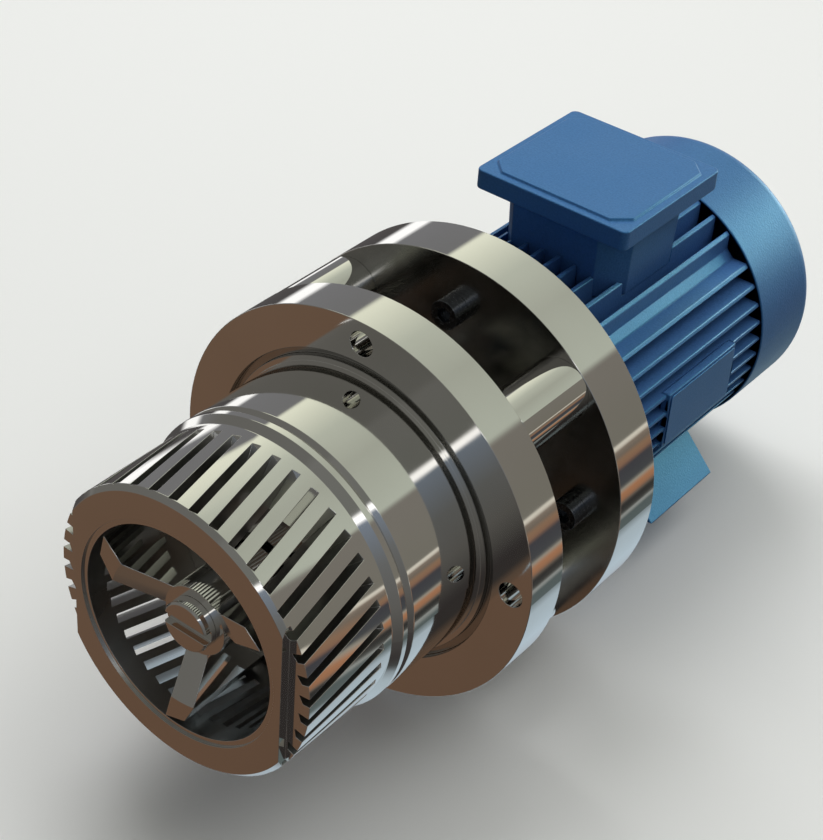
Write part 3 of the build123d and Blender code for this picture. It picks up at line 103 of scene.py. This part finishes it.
# Finishes: where nearly all of a noise's values lie, the share by which a plain finish's
# roughness varies, and the tint of the enamel's gloss
NOISE_LOW, NOISE_HIGH = 0.3, 0.7
ROUGHNESS_SPREAD = 0.15
PAINT_GLOSS = (0.12, 0.85, 1.0, 1)

# Edge rounding on the shown pieces, with a round profile
MACHINED_EDGE = 0.35 * MM
CAST_EDGE = 0.8 * MM
SMALL_EDGE = 0.2 * MM
EDGE_SEGMENTS = 2
EDGE_PROFILE = 0.5
SHARP_ANGLE = math.radians(32)
COPLANAR_ANGLE = math.radians(0.3)
WELD = 0.002 * MM

# Normals: how near a CAD surface is, how far it may turn from a face, and the area of no triangle
SURFACE_REACH = 0.02 * MM
SAME_SURFACE = 0.7
SAME_SIDE = 0.3
NO_AREA = 1e-18

# Faces that stay dull, with a darker colour that is partly painted shade: what lies between the
# flanges, and the groove in the mounting face
LANTERN_FRONT, LANTERN_REAR = (corner[1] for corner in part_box("lantern_pillars"))
FACE_GROOVE = (82 * MM, 88 * MM)
FACE_GROOVE_DEPTH = 4 * MM
# How far a face's normal leans, as the cosine to the shaft line or to the way out from it
ALONG_SHAFT = 0.9
INTO_BORE = -0.5
SLOT_WALL_OUT = 0.4
SLOT_WALL_ALONG = 0.35


def new_material(name, metallic, roughness):
    """A material and its Principled shader."""
    material = bpy.data.materials.new(name)
    material.use_nodes = True
    shader = material.node_tree.nodes["Principled BSDF"]
    shader.inputs["Metallic"].default_value = metallic
    shader.inputs["Roughness"].default_value = roughness
    return material, shader


def add_noise(material, scale, detail=3.0, stretch=(1, 1, 1)):
    """A noise texture in the piece's own coordinates; stretch scales them along x, y and z."""
    nodes, links = material.node_tree.nodes, material.node_tree.links
    place = nodes.new("ShaderNodeTexCoord")
    mapping = nodes.new("ShaderNodeMapping")
    mapping.inputs["Scale"].default_value = stretch
    noise = nodes.new("ShaderNodeTexNoise")
    noise.inputs["Scale"].default_value = scale
    noise.inputs["Detail"].default_value = detail
    links.new(place.outputs["Object"], mapping.inputs["Vector"])
    links.new(mapping.outputs["Vector"], noise.inputs["Vector"])
    return noise.outputs["Fac"]


def vary_colour(material, shader, fac, dark, light):
    """Base colour between dark and light, following fac."""
    ramp = material.node_tree.nodes.new("ShaderNodeValToRGB")
    ramp.color_ramp.elements[0].position = NOISE_LOW
    ramp.color_ramp.elements[0].color = (*dark, 1)
    ramp.color_ramp.elements[1].position = NOISE_HIGH
    ramp.color_ramp.elements[1].color = (*light, 1)
    material.node_tree.links.new(fac, ramp.inputs["Fac"])
    material.node_tree.links.new(ramp.outputs["Color"], shader.inputs["Base Color"])


def vary_roughness(material, shader, fac, low, high):
    """Roughness between low and high, following fac."""
    span = material.node_tree.nodes.new("ShaderNodeMapRange")
    span.inputs["From Min"].default_value = NOISE_LOW
    span.inputs["From Max"].default_value = NOISE_HIGH
    span.inputs["To Min"].default_value = low
    span.inputs["To Max"].default_value = high
    material.node_tree.links.new(fac, span.inputs["Value"])
    material.node_tree.links.new(span.outputs["Result"], shader.inputs["Roughness"])


def add_bump(material, shader, fac, height):
    """Surface relief of a given height in metres, following fac."""
    bump = material.node_tree.nodes.new("ShaderNodeBump")
    bump.inputs["Distance"].default_value = height
    bump.inputs["Strength"].default_value = 1.0
    material.node_tree.links.new(fac, bump.inputs["Height"])
    material.node_tree.links.new(bump.outputs["Normal"], shader.inputs["Normal"])


def polished_steel():
    """Mirror-polished stainless steel with the faintest smears."""
    material, shader = new_material("polished_steel_finish", metallic=1.0, roughness=0.04)
    smears = add_noise(material, scale=14, detail=4)
    vary_colour(material, shader, smears, dark=(0.73, 0.72, 0.69), light=(0.78, 0.77, 0.75))
    haze = add_noise(material, scale=30, detail=5)
    vary_roughness(material, shader, haze, low=0.035, high=0.07)
    return material


def milled_steel():
    """Dull tool-marked steel between the two flanges and in the face groove; its darker base colour is
    partly painted shade.
    """
    material, shader = new_material("milled_steel_finish", metallic=1.0, roughness=0.17)
    marks = add_noise(material, scale=60)
    # This darker base colour is painted shade between the flanges and in the face groove; the duller
    # roughness is the real finish
    vary_colour(material, shader, marks, dark=(0.44, 0.435, 0.415), light=(0.50, 0.495, 0.475))
    vary_roughness(material, shader, marks, low=0.13, high=0.22)
    return material


def reamed_steel():
    """Half-bright steel inside the sleeve's bore and slots, drawn along by the reamer."""
    material, shader = new_material("reamed_steel_finish", metallic=1.0, roughness=0.3)
    marks = add_noise(material, scale=30, stretch=(1, 0.3, 1))
    vary_colour(material, shader, marks, dark=(0.54, 0.535, 0.52), light=(0.62, 0.615, 0.60))
    vary_roughness(material, shader, marks, low=0.27, high=0.34)
    return material


def turned_steel():
    """Turned shaft steel with fine marks round the shaft line."""
    material, shader = new_material("turned_steel_finish", metallic=1.0, roughness=0.25)
    marks = add_noise(material, scale=1, detail=2, stretch=(20, 1500, 20))
    vary_colour(material, shader, marks, dark=(0.50, 0.49, 0.47), light=(0.58, 0.57, 0.55))
    vary_roughness(material, shader, marks, low=0.18, high=0.32)
    add_bump(material, shader, marks, height=0.02 * MM)
    return material


def steel_fasteners():
    """Bright rolled steel screws."""
    material, shader = new_material("steel_fasteners_finish", metallic=0.9, roughness=0.22)
    grain = add_noise(material, scale=700)
    vary_colour(material, shader, grain, dark=(0.58, 0.59, 0.60), light=(0.62, 0.63, 0.64))
    vary_roughness(material, shader, grain, low=0.17, high=0.25)
    return material


def blackened_steel():
    """Oiled black oxide on the motor's bolts."""
    material, shader = new_material("blackened_steel_finish", metallic=1.0, roughness=0.25)
    grain = add_noise(material, scale=500)
    vary_colour(material, shader, grain, dark=(0.13, 0.14, 0.16), light=(0.20, 0.215, 0.24))
    vary_roughness(material, shader, grain, low=0.18, high=0.30)
    return material


def blue_paint():
    """Blue enamel sprayed over castings, with a fine orange-peel grain."""
    material, shader = new_material("blue_paint_finish", metallic=0.0, roughness=0.42)
    shader.inputs["Specular IOR Level"].default_value = 1.0
    shader.inputs["Specular Tint"].default_value = PAINT_GLOSS
    grain = add_noise(material, scale=950, detail=2)
    vary_colour(material, shader, grain, dark=(0.038, 0.098, 0.270), light=(0.052, 0.130, 0.342))
    patches = add_noise(material, scale=25, detail=4)
    vary_roughness(material, shader, patches, low=0.38, high=0.46)
    add_bump(material, shader, grain, height=0.12 * MM)
    return material


def simple_finish(name, dark, light, metallic, roughness, grain_scale, bump_height):
    """A finish for small and inner pieces: two tones of one colour and a little relief."""
    material, shader = new_material(name + "_finish", metallic, roughness)
    grain = add_noise(material, grain_scale)
    vary_colour(material, shader, grain, dark, light)
    smooth, rough = (1 - ROUGHNESS_SPREAD) * roughness, (1 + ROUGHNESS_SPREAD) * roughness
    vary_roughness(material, shader, grain, smooth, rough)
    add_bump(material, shader, grain, bump_height)
    return material


FINISHES = {
    "polished_steel": polished_steel(),
    "turned_steel": turned_steel(),
    "milled_steel": milled_steel(),
    "reamed_steel": reamed_steel(),
    "steel_fasteners": steel_fasteners(),
    "blackened_steel": blackened_steel(),
    "blue_paint": blue_paint(),
}
# Slot, dark tone, light tone, metallic, roughness, grain scale and relief
SIMPLE_FINISHES = (
    ("bearing_steel", (0.52, 0.52, 0.52), (0.60, 0.60, 0.60), 1.0, 0.12, 300, 0.005 * MM),
    ("seal_carbide", (0.035, 0.035, 0.04), (0.055, 0.055, 0.06), 0.3, 0.22, 900, 0.01 * MM),
    ("black_rubber", (0.012, 0.012, 0.013), (0.022, 0.022, 0.023), 0.0, 0.55, 700, 0.03 * MM),
    ("core_steel", (0.22, 0.21, 0.20), (0.30, 0.29, 0.28), 1.0, 0.45, 600, 0.03 * MM),
    ("winding_varnish", (0.28, 0.09, 0.03), (0.42, 0.16, 0.06), 0.2, 0.35, 500, 0.1 * MM),
    ("cast_aluminium", (0.50, 0.50, 0.51), (0.62, 0.62, 0.63), 1.0, 0.42, 800, 0.05 * MM),
    ("fan_plastic", (0.025, 0.026, 0.028), (0.04, 0.041, 0.043), 0.0, 0.5, 900, 0.03 * MM),
    ("block_plastic", (0.05, 0.045, 0.04), (0.08, 0.07, 0.06), 0.0, 0.4, 900, 0.02 * MM),
    ("brass", (0.60, 0.42, 0.16), (0.72, 0.52, 0.22), 1.0, 0.22, 600, 0.01 * MM),
    ("gland_plastic", (0.03, 0.03, 0.032), (0.045, 0.045, 0.048), 0.0, 0.42, 1100, 0.03 * MM),
)
for name, *look in SIMPLE_FINISHES:
    FINISHES[name] = simple_finish(name, *look)


def slot_of(node):
    """The record's material slot of a CAD node."""
    return frame["nodes"][node].data.materials[0].name.split(".")[0]


def surface_normals(mesh):
    """A function from a point to the smooth normal of the nearest CAD surface."""
    mesh.calc_loop_triangles()
    corners = [mesh.vertices[i].co for t in mesh.loop_triangles for i in t.vertices]
    normals = [mesh.corner_normals[i].vector.copy() for t in mesh.loop_triangles for i in t.loops]
    triangles = [(3 * i, 3 * i + 1, 3 * i + 2) for i in range(len(mesh.loop_triangles))]
    tree = BVHTree.FromPolygons(corners, triangles)

    def normal_at(point, facing):
        """The smooth normal at point, on a surface that faces about the same way."""
        best, best_match = facing, SAME_SURFACE
        for place, _, index, _ in tree.find_nearest_range(point, SURFACE_REACH):
            a, b, c = corners[3 * index : 3 * index + 3]
            weights = barycentric(place, a, b, c)
            if weights is None:
                continue
            normal = sum((w * n for w, n in zip(weights, normals[3 * index :])), Vector()).normalized()
            match = normal.dot(facing)
            if match > best_match:
                best, best_match = normal, match
        return best

    return normal_at


def barycentric(point, a, b, c):
    """Weights of a triangle's corners at a point in its plane, or None if it has no area."""
    ab, ac, ap = b - a, c - a, point - a
    d00, d01, d11 = ab.dot(ab), ab.dot(ac), ac.dot(ac)
    d20, d21 = ap.dot(ab), ap.dot(ac)
    area = d00 * d11 - d01 * d01
    if area < NO_AREA:
        return None
    v = (d11 * d20 - d01 * d21) / area
    w = (d00 * d21 - d01 * d20) / area
    return 1 - v - w, v, w


def is_flat(face):
    """Whether no neighbour of a face bends away from it gently, as on a round surface."""
    return all(len(e.link_faces) == 2 and e.calc_face_angle() > SHARP_ANGLE for e in face.edges)


def rounded_shape(mesh, width):
    """A bmesh of a CAD mesh with its sharp edges rounded, and a normal for each face corner."""
    normal_at = surface_normals(mesh)
    shape = bmesh.new()
    shape.from_mesh(mesh)
    bmesh.ops.remove_doubles(shape, verts=shape.verts, dist=WELD)
    bmesh.ops.dissolve_degenerate(shape, edges=shape.edges, dist=WELD)
    bmesh.ops.dissolve_limit(
        shape, angle_limit=COPLANAR_ANGLE, verts=shape.verts, edges=shape.edges
    )
    flat = shape.faces.layers.int.new("flat")
    for face in shape.faces:
        face[flat] = is_flat(face)
    sharp = [e for e in shape.edges if len(e.link_faces) == 2 and e.calc_face_angle() > SHARP_ANGLE]
    made = bmesh.ops.bevel(
        shape,
        geom=sharp,
        offset=width,
        segments=EDGE_SEGMENTS,
        profile=EDGE_PROFILE,
        affect="EDGES",
        clamp_overlap=False,
    )
    round_faces = set(made["faces"])
    many_sided = [f for f in shape.faces if len(f.verts) > 4 and f not in round_faces]
    bmesh.ops.triangulate(shape, faces=many_sided)
    shape.normal_update()
    # Flat faces keep their own normal, and curved ones take the CAD surface's
    corner_normals = {}
    by_vert = {}
    for face in shape.faces:
        face.smooth = True
        if face in round_faces:
            continue
        for vert in face.verts:
            normal = face.normal.copy() if face[flat] else normal_at(vert.co, face.normal)
            corner_normals[face, vert] = normal
            by_vert.setdefault(vert, []).append(normal)
    # A rounding's corners turn from the normals of the faces that it joins
    for face in round_faces:
        for vert in face.verts:
            if vert in by_vert:
                near = [n for n in by_vert[vert] if n.dot(face.normal) > SAME_SIDE]
                normal = sum(near, Vector()).normalized() if near else face.normal.copy()
            else:
                normal = sum((f.normal for f in vert.link_faces), Vector()).normalized()
            corner_normals[face, vert] = normal
    return shape, [corner_normals[f, v] for f in shape.faces for v in f.verts]


def round_edges(node, width):
    """A shown piece with the CAD node's surfaces and its sharp edges rounded to width."""
    source = frame["nodes"][node]
    slot = slot_of(node)
    shape, corner_normals = rounded_shape(source.data, width)
    mesh = bpy.data.meshes.new(node + "_rounded")
    mesh.materials.append(FINISHES[slot])
    if node in DULL_FACES:
        is_dull, finish = DULL_FACES[node]
        mesh.materials.append(FINISHES[finish])
        for face in shape.faces:
            face.material_index = int(is_dull(face.calc_center_median(), face.normal))
    shape.to_mesh(mesh)
    shape.free()
    mesh.normals_split_custom_set(corner_normals)
    piece = bpy.data.objects.new(node + "_finished", mesh)
    bpy.context.scene.collection.objects.link(piece)
    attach(piece, source["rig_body"])
    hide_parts(node)
    return piece


def anywhere(centre, normal):
    """Every face, for a piece that is dull all over."""
    return True


def in_bore_or_slot(centre, normal):
    """Whether a face of the stator head is its bore or a slot's side wall."""
    outward = normal.dot(Vector((centre.x, 0, centre.z)).normalized())
    on_wall = abs(outward) < SLOT_WALL_OUT and abs(normal.y) < SLOT_WALL_ALONG
    return outward < INTO_BORE or on_wall


def on_lantern_side(centre, normal):
    """Whether a face of a flange looks into the lantern between the two flanges."""
    between = LANTERN_FRONT - WELD < centre.y < LANTERN_REAR + WELD
    return between and abs(normal.y) > ALONG_SHAFT


def in_flange_shade(centre, normal):
    """Whether a face of the mounting flange is in its face groove or on its lantern side."""
    radius = math.hypot(centre.x, centre.z)
    in_groove = FACE_GROOVE[0] < radius < FACE_GROOVE[1] and 0 < centre.y < FACE_GROOVE_DEPTH
    return in_groove or on_lantern_side(centre, normal)


# Pieces with a second finish: which of their faces have it, and its name
DULL_FACES = {
    "stator_head": (in_bore_or_slot, "reamed_steel"),
    # Milled steel here and on the mounting flange: a duller finish, and a darker colour that is
    # painted shade
    "adapter_flange": (on_lantern_side, "milled_steel"),
    "motor_bolts": (anywhere, "blackened_steel"),
    "mounting_flange": (in_flange_shade, "milled_steel"),
}
# The shown pieces, by the width of their rounding
EDGES = {
    MACHINED_EDGE: (
        "mounting_flange", "lantern_pillars", "adapter_flange", "seal_cover",
        "mixer_shaft", "rotor", "rotor_screw", "nameplate",
    ),
    CAST_EDGE: (
        "motor_frame", "motor_feet", "terminal_box", "terminal_lid", "front_end_shield",
        "fan_cowl", "rear_end_shield",
    ),
    SMALL_EDGE: (
        "stator_head", "pillar_screws", "motor_bolts", "seal_cover_screws",
        "coupling_set_screws", "cowl_screws", "foot_screws", "cable_gland", "gland_nut",
        "blanking_plug", "lid_gasket", "lid_screws",
    ),
}
slots = {node: slot_of(node) for node in frame["nodes"]}
painted = bpy.data.collections.new("painted")
for width, nodes in EDGES.items():
    for node in nodes:
        piece = round_edges(node, width)
        if slots[node] == "blue_paint":
            painted.objects.link(piece)
for node, slot in slots.items():
    frame["nodes"][node].data.materials[0] = FINISHES[slot]


# What the steel mirrors towards +Y: bands of colour, each with its angle in degrees round the
# shaft line, from straight up towards +X
REAR_STUDIO = (
    (-180, (0.50, 0.61, 0.69)),
    (-160, (0.42, 0.48, 0.53)),
    (-150, (0.10, 0.09, 0.09)),
    (-103, (0.08, 0.075, 0.075)),
    (-98, (1.25, 1.25, 1.25)),
    (-90, (1.25, 1.25, 1.25)),
    (-86, (0.21, 0.21, 0.22)),
    (-52, (0.20, 0.20, 0.205)),
    (-49, (0.95, 0.97, 0.80)),
    (-17, (0.56, 0.59, 0.50)),
    (12, (0.44, 0.46, 0.39)),
    (51, (0.51, 0.545, 0.465)),
    (54, (0.215, 0.20, 0.177)),
    (97, (0.205, 0.195, 0.165)),
    (99, (1.0, 0.95, 0.82)),
    (101, (0.25, 0.20, 0.16)),
    (104, (0.19, 0.16, 0.13)),
    (107, (0.30, 0.18, 0.11)),
    (110, (0.26, 0.15, 0.10)),
    (112, (0.06, 0.06, 0.07)),
    (122, (0.07, 0.075, 0.08)),
    (124, (0.38, 0.36, 0.30)),
    (126, (0.44, 0.21, 0.11)),
    (130, (0.36, 0.18, 0.10)),
    (132, (0.14, 0.12, 0.10)),
    (134, (0.03, 0.03, 0.03)),
    (139, (0.06, 0.06, 0.055)),
    (141, (0.40, 0.42, 0.40)),
    (143, (0.10, 0.125, 0.125)),
    (151, (0.12, 0.15, 0.15)),
    (156, (0.44, 0.53, 0.59)),
    (180, (0.50, 0.61, 0.69)),
)
# What it mirrors towards -Y, with the same angles
FRONT_STUDIO = (
    (-180, (0.125, 0.085, 0.06)),
    (-145, (0.145, 0.086, 0.055)),
    (-131, (0.168, 0.108, 0.073)),
    (-126, (0.168, 0.108, 0.073)),
    (-116, (0.16, 0.155, 0.145)),
    (-6, (0.155, 0.155, 0.145)),
    (0, (0.185, 0.185, 0.175)),
    (42, (0.175, 0.18, 0.165)),
    (45, (1.6, 1.6, 1.6)),
    (48, (1.6, 1.6, 1.6)),
    (50, (0.21, 0.25, 0.31)),
    (80, (0.155, 0.16, 0.16)),
    (110, (0.13, 0.127, 0.12)),
    (127, (0.09, 0.087, 0.082)),
    (145, (0.045, 0.04, 0.04)),
    (165, (0.045, 0.04, 0.038)),
    (180, (0.125, 0.085, 0.06)),
)


def studio_world():
    """A soft studio given by direction alone: a cream ceiling, taupe walls, brown and pale below."""
    world = bpy.data.worlds.new("studio")
    bpy.context.scene.world = world
    world.use_nodes = True
    nodes, links = world.node_tree.nodes, world.node_tree.links
    direction = nodes.new("ShaderNodeSeparateXYZ")
    links.new(nodes.new("ShaderNodeTexCoord").outputs["Generated"], direction.inputs["Vector"])

    def span(value, low, high, smooth=False):
        """A value's place between low and high, as a number from 0 to 1."""
        node = nodes.new("ShaderNodeMapRange")
        node.interpolation_type = "SMOOTHSTEP" if smooth else "LINEAR"
        node.inputs["From Min"].default_value = low
        node.inputs["From Max"].default_value = high
        links.new(value, node.inputs["Value"])
        return node.outputs["Result"]

    def ramp(value, stops):
        """The colours of stops, whose first and last places are value's 0 and 1."""
        node = nodes.new("ShaderNodeValToRGB")
        links.new(value, node.inputs["Fac"])
        elements = node.color_ramp.elements
        first, last = stops[0][0], stops[-1][0]
        for _ in stops[2:]:
            elements.new(1)
        for element, (place, colour) in zip(elements, stops):
            element.position = (place - first) / (last - first)
            element.color = (*colour, 1)
        return node.outputs["Color"]

    def mix(fac, first, second):
        """The first colour where fac is 0, the second where it is 1."""
        node = nodes.new("ShaderNodeMix")
        node.data_type = "RGBA"
        links.new(fac, node.inputs["Factor"])
        links.new(first, node.inputs["A"])
        links.new(second, node.inputs["B"])
        return node.outputs["Result"]

    turn = nodes.new("ShaderNodeMath")
    turn.operation = "ARCTAN2"
    links.new(direction.outputs["X"], turn.inputs[0])
    links.new(direction.outputs["Z"], turn.inputs[1])
    angle = span(turn.outputs["Value"], -math.pi, math.pi)
    to_rear = span(direction.outputs["Y"], -STUDIO_SEAM, STUDIO_SEAM, smooth=True)
    studio = mix(to_rear, ramp(angle, FRONT_STUDIO), ramp(angle, REAR_STUDIO))
    links.new(studio, nodes["Background"].inputs["Color"])


def stay_pale(material, shader):
    """Keep a floor as pale far from the part, where the lamps fade, as it is near by."""
    nodes, links = material.node_tree.nodes, material.node_tree.links
    reach = nodes.new("ShaderNodeVectorMath")
    reach.operation = "LENGTH"
    links.new(nodes.new("ShaderNodeTexCoord").outputs["Object"], reach.inputs[0])
    fade = nodes.new("ShaderNodeMapRange")
    fade.interpolation_type = "SMOOTHSTEP"
    fade.inputs["From Min"].default_value = FLOOR_FADE[0]
    fade.inputs["From Max"].default_value = FLOOR_FADE[1]
    links.new(reach.outputs["Value"], fade.inputs["Value"])
    glow = nodes.new("ShaderNodeEmission")
    glow.inputs["Color"].default_value = FLOOR_COLOUR
    blend = nodes.new("ShaderNodeMixShader")
    links.new(fade.outputs["Result"], blend.inputs["Fac"])
    links.new(shader.outputs["BSDF"], blend.inputs[1])
    links.new(glow.outputs["Emission"], blend.inputs[2])
    links.new(blend.outputs["Shader"], nodes["Material Output"].inputs["Surface"])


def floor():
    """A wide pale floor under the flange rims."""
    mesh = bpy.data.meshes.new("floor")
    signs = ((-1, -1), (1, -1), (1, 1), (-1, 1))
    corners = [(x * FLOOR_HALF, y * FLOOR_HALF, FLOOR_Z) for x, y in signs]
    mesh.from_pydata(corners, [], [(0, 1, 2, 3)])
    material, shader = new_material("floor_finish", metallic=0.0, roughness=FLOOR_ROUGHNESS)
    shader.inputs["Base Color"].default_value = FLOOR_COLOUR
    stay_pale(material, shader)
    mesh.materials.append(material)
    piece = bpy.data.objects.new("floor", mesh)
    bpy.context.scene.collection.objects.link(piece)
    piece.visible_glossy = False
    piece.visible_diffuse = False


def soft_lamp(name, place, aim, size, power, only=None):
    """A square softbox that nothing mirrors; with only, just the gloss of those pieces sees it."""
    lamp = bpy.data.lights.new(name, "AREA")
    lamp.shape = "SQUARE"
    lamp.size = size
    lamp.energy = power
    holder = bpy.data.objects.new(name, lamp)
    holder.location = place
    holder.rotation_euler = (aim - place).to_track_quat("-Z", "Y").to_euler()
    holder.visible_camera = False
    holder.visible_glossy = only is not None
    holder.visible_diffuse = only is None
    holder.light_linking.receiver_collection = only
    bpy.context.scene.collection.objects.link(holder)


def camera():
    """The photograph's viewpoint."""
    data = bpy.data.cameras.new("camera")
    data.sensor_width = SENSOR
    data.lens = FOCAL_PIXELS * SENSOR / IMAGE_HEIGHT
    data.clip_end = VIEW_DEPTH
    ahead = Vector(
        (
            -math.sin(CAMERA_AZIMUTH) * math.cos(CAMERA_ELEVATION),
            math.cos(CAMERA_AZIMUTH) * math.cos(CAMERA_ELEVATION),
            -math.sin(CAMERA_ELEVATION),
        )
    )
    level_right = ahead.cross(Vector((0, 0, 1))).normalized()
    level_up = level_right.cross(ahead)
    right = level_right * math.cos(CAMERA_ROLL) + level_up * math.sin(CAMERA_ROLL)
    up = right.cross(ahead)
    holder = bpy.data.objects.new("camera", data)
    holder.matrix_world = Matrix(
        ((right.x, up.x, -ahead.x, CAMERA_PLACE.x),
         (right.y, up.y, -ahead.y, CAMERA_PLACE.y),
         (right.z, up.z, -ahead.z, CAMERA_PLACE.z),
         (0, 0, 0, 1))
    )
    bpy.context.scene.collection.objects.link(holder)
    bpy.context.scene.camera = holder


studio_world()
floor()
soft_lamp("key_lamp", Vector((-1.2, 0.9, 2.2)), Vector((0, 0.1, 0)), size=1.6, power=34)
soft_lamp("side_lamp", Vector((0.7, 1.0, 2.2)), Vector((0, 0.2, 0)), size=2.0, power=18)
soft_lamp(
    "paint_lamp", Vector((1.14, 1.88, 0.85)), Vector((0, 0.21, 0)), size=1.1, power=13, only=painted
)
soft_lamp(
    "rim_lamp", Vector((0.35, 2.3, 0.3)), Vector((0, 0.3, 0)), size=1.0, power=18, only=painted
)
camera()
bpy.context.scene.view_settings.view_transform = "Standard"
